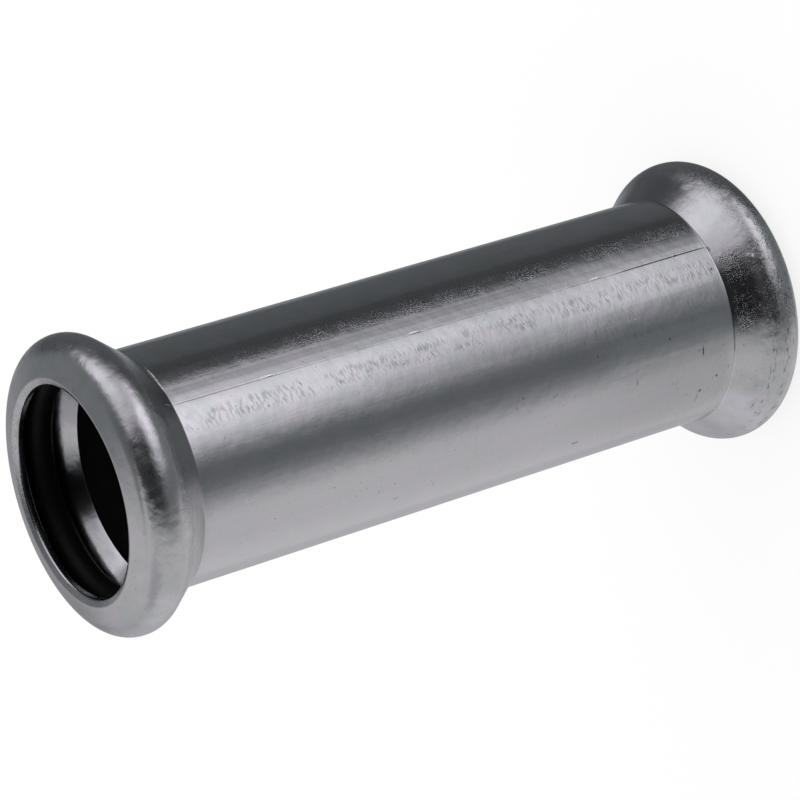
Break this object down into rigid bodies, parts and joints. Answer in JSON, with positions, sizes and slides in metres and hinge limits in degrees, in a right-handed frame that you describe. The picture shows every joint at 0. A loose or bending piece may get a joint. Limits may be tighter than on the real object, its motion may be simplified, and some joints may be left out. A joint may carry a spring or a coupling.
{
  "type": "press slip coupling",
  "caption": "Straight slip coupling pressed onto steel pipe: a plain tube with a rolled bead at each end, and a round rubber sealing ring held inside each bead.",
  "frame": {"origin": "centre of the lower end face, on the axis, where the coupling stands", "axes": "+Z along the tube's axis, from the lower end to the upper end; X and Y are free, because the coupling is round; the weld seam is not a datum"},
  "size_m": [0.0318, 0.0318, 0.084],
  "materials": {
    "body_steel": "satin grey steel, fine lengthwise drawing marks, a ground weld seam along the tube",
    "seal_rubber": "smooth moulded black rubber, slightly glossy"
  },
  "bodies": {
    "root": {"coupling_body": "body_steel", "lower_seal": "seal_rubber", "upper_seal": "seal_rubber"}
  },
  "joints": []
}
